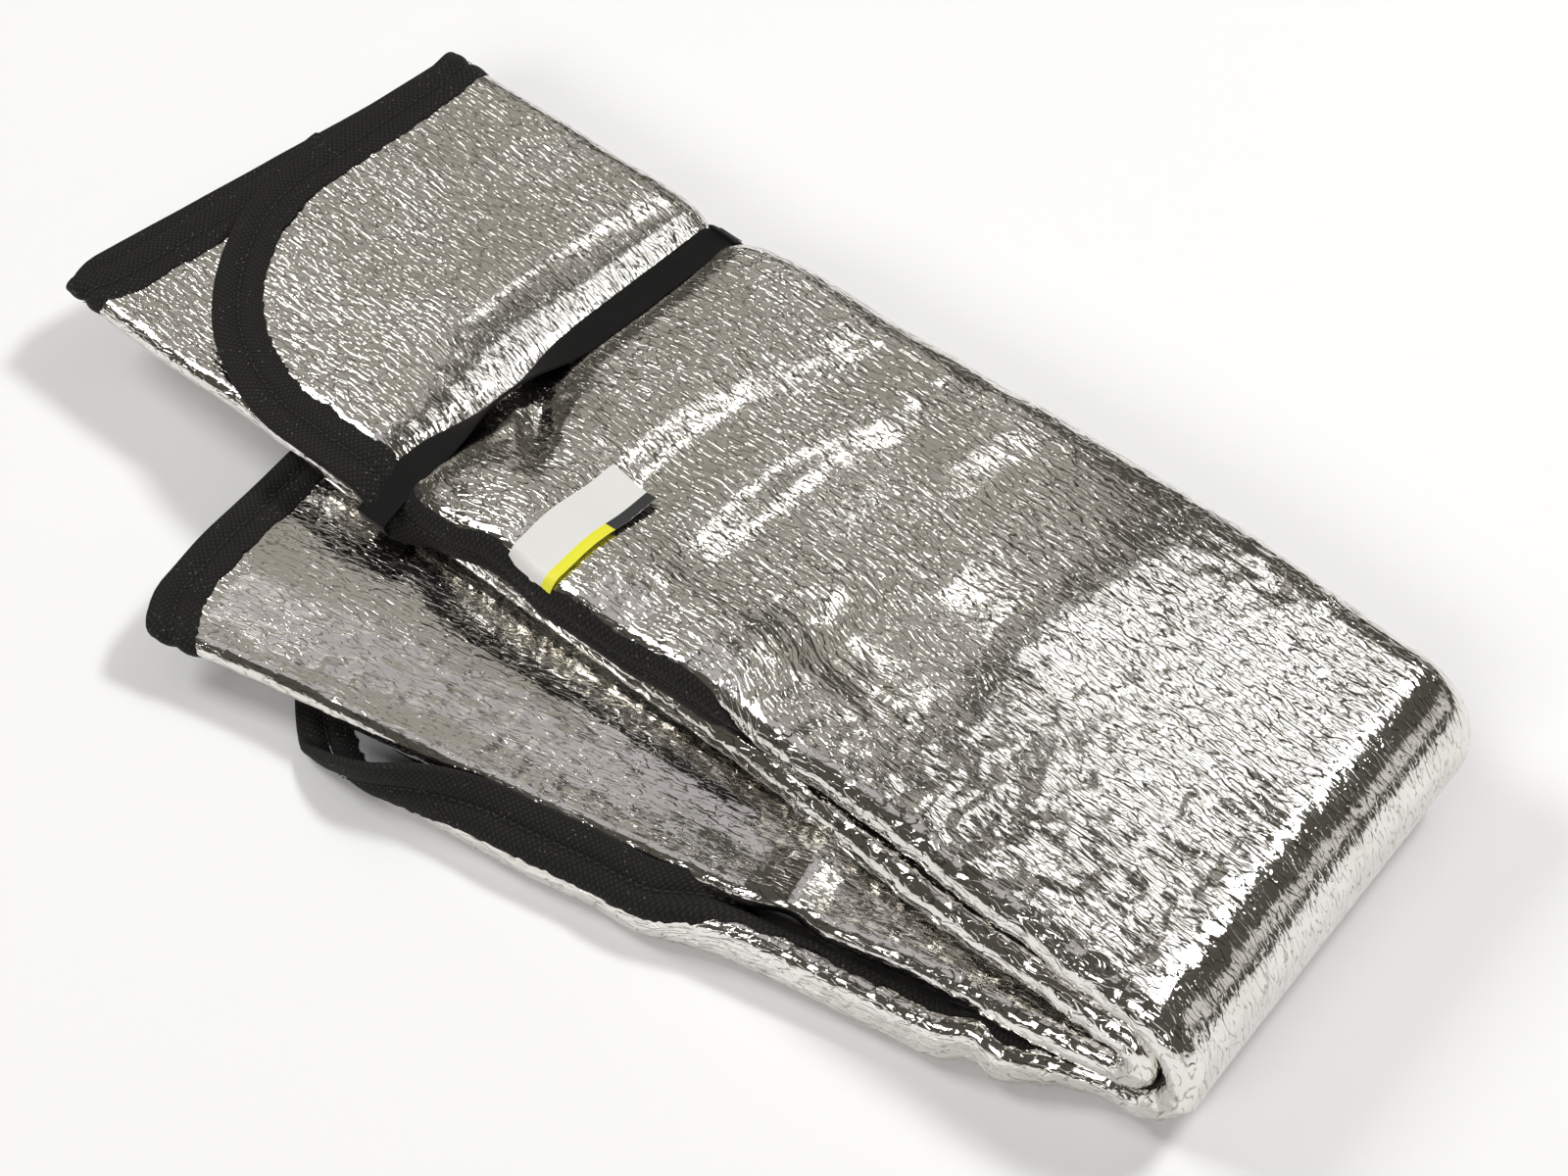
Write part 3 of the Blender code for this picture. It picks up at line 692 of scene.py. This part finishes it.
# ---- The stitching ---------------------------------------------------------------------------------------
# Black polyester thread in 3 mm lock stitches down the middle of the binding, showing on both of its faces.
STITCH, STITCH_SHOWN, THREAD = 0.0030, 0.76, 0.00022


def wave(flat, direction, length, Scale=1.0, **named):
    """Bands across a direction of the flat map, in cells of a length in metres."""
    return flat.node("ShaderNodeTexWave", dict(bands_direction=direction), scaled(flat, length, length),
                     Scale=Scale, **named)


def thread_material():
    """Twisted filament: a fine diagonal lay in its colour and roughness, with a soft shine."""
    thread, shader, flat = finish("thread_black", Specular_IOR_Level=0.5)
    lay = wave(flat, "DIAGONAL", 0.004, Scale=2.0)
    link(lay.colours((0.010, 0.0098, 0.0095), (0.035, 0.034, 0.033)), shader, "Base Color")
    link(0.42 + lay * 0.15, shader, "Roughness")
    return thread


THREAD_BLACK = thread_material()


def stitches(name, ends_a, ends_b, out, radius, material):
    """One short arched rod for each pair of ends: five tapering rings of six points, closed at both ends. Its
    middle line is a + (b - a) t, raised by 1.2 radii times the sine of pi t."""
    t = np.linspace(0, 1, 5)[None, :, None, None]
    a, b = ends_a[:, None, None, :], ends_b[:, None, None, :]
    along = (ends_b - ends_a) / np.linalg.norm(ends_b - ends_a, axis=1, keepdims=True)
    side = np.cross(along, out)
    centre = a + (b - a) * t + out[:, None, None, :] * radius * 1.2 * np.sin(np.pi * t)
    turn = np.linspace(0, 2 * np.pi, 6, endpoint=False)[None, None, :, None]
    fat = radius * np.array([0.25, 0.9, 1.0, 0.9, 0.25])[None, :, None, None]
    points = centre + fat * (np.cos(turn) * out[:, None, None, :] + np.sin(turn) * side[:, None, None, :])
    count = len(ends_a)
    caps = np.array([[0, 5, 4, 1], [1, 4, 3, 2], [24, 25, 28, 29], [25, 26, 27, 28]])
    one = np.concatenate([grid_faces(5, 6, closed=True), caps])
    faces = (one[None] + 30 * np.arange(count)[:, None, None]).reshape(-1, 4)
    uv = np.stack(np.meshgrid(np.linspace(0, STITCH, 5), np.linspace(0, 0.001, 6), indexing="ij"), -1)
    uv = np.tile(uv.reshape(-1, 2), (count, 1))
    return mesh_piece(name, points.reshape(-1, 3), faces, uv, material, 80.0)


for leg in (upper, lower):
    run, s, u, in_s, in_u = edge_path(leg, STITCH / 4)
    s, u = s + in_s * SEAM, np.maximum(u + in_u * SEAM, 0.0)
    pick = np.arange(4, len(run) - 5, 4)
    starts, stops, outs = [], [], []
    pressed = FOAM_HALF * thin(0.0)
    for height, lift in ((pressed + SKIN + FILM + TAPE + 0.00018, 0.001), (-pressed - TAPE + 0.0001, -0.001)):
        line = leg.place(s, u, height)
        above = (leg.place(s, u, height + lift) - line)[pick]
        starts.append(line[pick])
        stops.append(line[pick] + STITCH_SHOWN * (line[pick + 4] - line[pick]))
        outs.append(above / np.linalg.norm(above, axis=1, keepdims=True))
    seam = stitches(f"seam_{leg.name}", *map(np.concatenate, (starts, stops, outs)), THREAD, THREAD_BLACK)
    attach(seam, f"{leg.name}_leg")
    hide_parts(f"stitching_{leg.name}")


# ---- The elastic loop ------------------------------------------------------------------------------------
# Braided black elastic, 12 mm wide, stretched round the upper leg and twisted once on top; lapped and tacked.
ELASTIC, ELASTIC_WIDTH, ELASTIC_GAP, LAP = 0.0012, 0.0120, 0.0007, 0.012


def elastic_material():
    """Braid: ribs along the band crossed by fine picks, matt and nearly black."""
    elastic, shader, flat = finish("elastic_braid", Specular_IOR_Level=0.16)
    pick = wave(flat, "Y", 0.0026, Distortion=0.6)
    weave = wave(flat, "X", 0.0040) * 0.6 + pick * 0.4
    link(weave.colours((0.0025, 0.0024, 0.0023), (0.0085, 0.0082, 0.0078)), shader, "Base Color")
    link(0.55 + pick * 0.2, shader, "Roughness")
    relief(flat, shader, weave, 0.0003, 0.8)
    return elastic


ELASTIC_BLACK = elastic_material()


def loop_path(clear, count=260):
    """The band's middle line round the leg, across and height: the section's outline as a taut string takes
    it, its furthest point in each direction moved out by the clearance, spaced evenly by length."""
    s = np.linspace(0, WIDTH, 900)
    hull = np.stack(upper.across(s, np.full_like(s, STRAP_AT), 0 * s), -1)
    grown = [np.stack(upper.across(s, np.full_like(s, STRAP_AT), 0 * s + h), -1) for h in (0.0022, -0.0018)]
    cloud = np.concatenate([hull, *grown])
    angle = np.linspace(0, 2 * np.pi, 1440, endpoint=False)
    way = np.stack([np.cos(angle), np.sin(angle)], -1)
    out = cloud[np.argmax(cloud @ way.T, axis=0)] + clear * way
    out = np.concatenate([out, out[:1]])
    run = np.concatenate([[0], np.cumsum(np.hypot(*np.diff(out, axis=0).T))])
    keep = np.concatenate([[True], np.diff(run) > 1e-9])
    even = np.linspace(0, run[-1], count, endpoint=False)
    return np.stack([np.interp(even, run[keep], out[keep, k]) for k in (0, 1)], -1), run[-1]


def leg_point(x, y, z):
    """World place of a point given along, across and above the axis in the upper leg's own directions."""
    swung = x * np.cos(SKEW) + y * np.sin(SKEW), -x * np.sin(SKEW) + y * np.cos(SKEW), z
    return np.stack(np.broadcast_arrays(*swung), -1) + AXIS


def band(name, line, length, closed, width, twist=0.0, lift=0.0, squeeze=1.0):
    """A flat band along a line round the leg: its rounded section, 1 - 0.35 e^4 of full thickness at e half
    widths from the middle, is turned by twist, squeezed across and lifted at each point."""
    step = np.roll(line, -1, 0) - np.roll(line, 1, 0) if closed else np.gradient(line, axis=0)
    step = step / np.linalg.norm(step, axis=1, keepdims=True)
    out = np.stack([step[:, 1], -step[:, 0]], -1)
    edge = np.linspace(-1, 1, 9)
    across = np.concatenate([edge, edge[::-1]]) * width / 2
    face = np.repeat([1, -1], 9) * ELASTIC / 2 * (1 - 0.35 * np.tile(edge, 2) ** 4)
    twist, lift, squeeze = (np.broadcast_to(v, len(line))[:, None] for v in (twist, lift, squeeze))
    x = across * squeeze * np.cos(twist) - face * np.sin(twist)
    r = across * squeeze * np.sin(twist) + face * np.cos(twist) + lift
    y, z = line[:, :1] + out[:, :1] * r, line[:, 1:] + out[:, 1:] * r
    points = leg_point(-STRAP_AT + x, y, z)
    run = np.linspace(0, length, len(line))
    if not closed:
        return ring_piece(name, points, run, across, ELASTIC_BLACK)
    faces = grid_faces(len(line) + 1, 18, closed=True) % (18 * len(line))
    uv = np.stack(np.broadcast_arrays(across[None, :], run[:, None]), -1).reshape(-1, 2)
    return mesh_piece(name, points.reshape(-1, 3), faces, uv, ELASTIC_BLACK)


line, length = loop_path(ELASTIC_GAP + ELASTIC / 2)
on_top = ease(0.0, 0.004, line[:, 1] - 0.010)
knot = bump(line[:, 0], -0.0270, 0.0200) * on_top
loop = band("band_loop", line, length, True, ELASTIC_WIDTH, twist=np.radians(58) * knot, lift=0.0012 * knot,
            squeeze=1 - 0.60 * knot)
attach(loop, "elastic_loop")
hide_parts("elastic_band")

# The lap is a second turn of the band over the first, where the frame has its lap, under a zigzag bar tack.
lap_at = np.array(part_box("elastic_lap")).mean(0) - AXIS
lap_y = lap_at[0] * np.sin(SKEW) + lap_at[1] * np.cos(SKEW)
lap_line, _ = loop_path(ELASTIC_GAP + ELASTIC * 1.5 + 0.0001)
nearest = int(np.argmin(np.hypot(lap_line[:, 0] - lap_y, lap_line[:, 1] - lap_at[2])))
lapped = (nearest + np.arange(-4, 5)) % len(lap_line)
lap = band("band_lap", lap_line[lapped], LAP, False, ELASTIC_WIDTH * 0.98)
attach(lap, "elastic_loop")
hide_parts("elastic_lap")

tack_line, _ = loop_path(ELASTIC_GAP + ELASTIC * 2 + 0.0002)
here, after = tack_line[nearest], tack_line[(nearest + 1) % len(tack_line)]
way = (after - here) / np.linalg.norm(after - here)
rows = np.arange(14)
bar_x = -STRAP_AT + (rows / (len(rows) - 1) - 0.5) * 0.009
zig = np.where(rows % 2 == 0, -1, 1) * 0.0009
ends = [leg_point(bar_x + shift, here[0] + way[0] * zig * k, here[1] + way[1] * zig * k)
        for shift, k in ((0.0, -1), (0.0003, 1))]
face_out = np.array([way[1] * np.sin(SKEW), way[1] * np.cos(SKEW), -way[0]])
tack = stitches("band_tack", *ends, np.tile(face_out, (len(rows), 1)), 0.0002, THREAD_BLACK)
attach(tack, "elastic_loop")
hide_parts("elastic_tack")


# ---- The label -------------------------------------------------------------------------------------------
# A satin ribbon caught under the binding's inner edge and laid back over the foil: off-white with a yellow
# stripe down one side and a black block at its free end. It carries no lettering.
LABEL_AT, LABEL_WIDTH, LABEL_LENGTH, LABEL_SEWN = 0.226, 0.020, 0.045, 0.0135
STRIPE, BLOCK_FROM = 0.0043, 0.0275


def label_material():
    """Satin ribbon: fine warp lines as height, with a stripe and a block printed by place on the ribbon."""
    label, shader, flat = finish("label_satin", Roughness=0.45, Sheen_Weight=0.2)
    across = flat.node("ShaderNodeSeparateXYZ", None, flat)
    along = Wire(flat.tree, across.socket.node.outputs[1])
    stripe = 1 - across.step(STRIPE - 0.0001, STRIPE + 0.0001)
    block = along.step(BLOCK_FROM, BLOCK_FROM + 0.0003)
    weave = wave(flat, "X", 0.0012)
    cloth = weave.colours((0.74, 0.735, 0.71), (0.82, 0.815, 0.79))
    printed = stripe.colours(cloth, block.colours((0.86, 0.83, 0.03), (0.02, 0.02, 0.022)))
    link(printed, shader, "Base Color")
    link(0.36 + weave * 0.15, shader, "Roughness")
    relief(flat, shader, weave, 0.0001, 0.3)
    return label


LABEL_SATIN = label_material()
ribbon_s = LABEL_SEWN + np.linspace(0, LABEL_LENGTH, 46)[:, None]
ribbon_u = LABEL_AT + np.linspace(-0.5, 0.5, 17) * LABEL_WIDTH
rise = 0.0021 + 0.0010 * ease(0.014, 0.019, ribbon_s) + 0.0008 * ease(0.045, 0.0585, ribbon_s)
ribbon = [upper.place(ribbon_s, ribbon_u, rise + thick) for thick in (0.00025, 0.0)]
ribbon_uv = np.stack(np.broadcast_arrays(ribbon_u - LABEL_AT + LABEL_WIDTH / 2, ribbon_s - LABEL_SEWN), -1)
label = slab("ribbon_label", *ribbon, ribbon_uv, LABEL_SATIN)
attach(label, "label_tag")
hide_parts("label")

sewn_s = LABEL_SEWN + 0.0013
sewn_u = LABEL_AT + (np.arange(6) - 2.5) * 0.0031
ends = [upper.place(sewn_s, sewn_u + shift, 0.0017) for shift in (-0.001, 0.001)]
above = upper.place(sewn_s, sewn_u, 0.0027) - upper.place(sewn_s, sewn_u, 0.0017)
above = above / np.linalg.norm(above, axis=1, keepdims=True)
sewing = stitches("ribbon_sewing", *ends, above, THREAD, THREAD_BLACK)
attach(sewing, "label_tag")
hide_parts("label_stitch")


# ---- The studio ------------------------------------------------------------------------------------------
# A plain pale floor, a warm grey room, a strong lamp behind to the right, a slim one whose glints gather on
# the foil's waves, wide dim cards for the foil to mirror, and two fills.
ground = bpy.data.meshes.new("floor")
ground.from_pydata([(-4, -4, 0), (4, -4, 0), (4, 4, 0), (-4, 4, 0)], [], [(0, 1, 2, 3)])
paper, _, _ = finish("floor_paper", Base_Color=(0.95, 0.95, 0.955, 1), Roughness=0.9, Specular_IOR_Level=0.1)
ground.materials.append(paper)
floor = bpy.data.objects.new("floor", ground)
floor.location.z = -0.0004
bpy.context.scene.collection.objects.link(floor)

world = bpy.data.worlds.new("room")
bpy.context.scene.world = world
world.use_nodes = True
world.node_tree.nodes["Background"].inputs["Color"].default_value = (0.085, 0.080, 0.068, 1)


def lamp(name, towards, distance, size, glow, colour=(1, 1, 1)):
    """A rectangular lamp aimed at the pad from a direction, with its brightness given as radiance."""
    light = bpy.data.lights.new(name, "AREA")
    light.shape, light.size, light.size_y = "RECTANGLE", *size
    light.energy = glow * np.pi * size[0] * size[1]
    light.color = colour
    lit = bpy.data.objects.new(name, light)
    way = Vector(towards).normalized()
    lit.location = way * distance
    lit.rotation_euler = way.to_track_quat("Z", "Y").to_euler()
    bpy.context.scene.collection.objects.link(lit)


lamp("lamp_key", (0.32, 0.47, 0.82), 2.2, (0.50, 0.34), 42.0)
lamp("card_key", (0.01, 0.535, 0.82), 2.15, (0.80, 0.52), 1.45)
lamp("lamp_glint", (-0.36, 0.53, 0.76), 2.0, (0.055, 0.20), 6.5)
lamp("card_ceiling", (-0.66, 0.52, 0.70), 2.7, (1.9, 1.9), 0.29, (1.0, 0.965, 0.885))
lamp("card_lilac", (-0.36, -0.02, 0.95), 2.5, (1.5, 1.0), 0.43, (0.985, 0.945, 1.0))
lamp("card_right", (0.85, 0.50, 0.32), 3.0, (1.3, 0.7), 0.60, (1.0, 0.98, 0.95))
lamp("card_front", (0.2, -0.9, 0.75), 3.0, (1.8, 0.8), 6.6, (1.0, 0.99, 0.98))
lamp("lamp_fill", (-0.9, -0.2, 0.9), 3.0, (1.0, 1.0), 11.0)

camera = bpy.data.objects.new("camera", bpy.data.cameras.new("camera"))
camera.data.lens = 87.75
camera.location = (0.4965, -0.6320, 0.9444)
camera.rotation_euler = (np.radians(90 - 49.5), 0, np.radians(36.2))
camera.data.clip_end = 50
bpy.context.scene.collection.objects.link(camera)
bpy.context.scene.camera = camera
bpy.context.scene.view_settings.view_transform = "Standard"
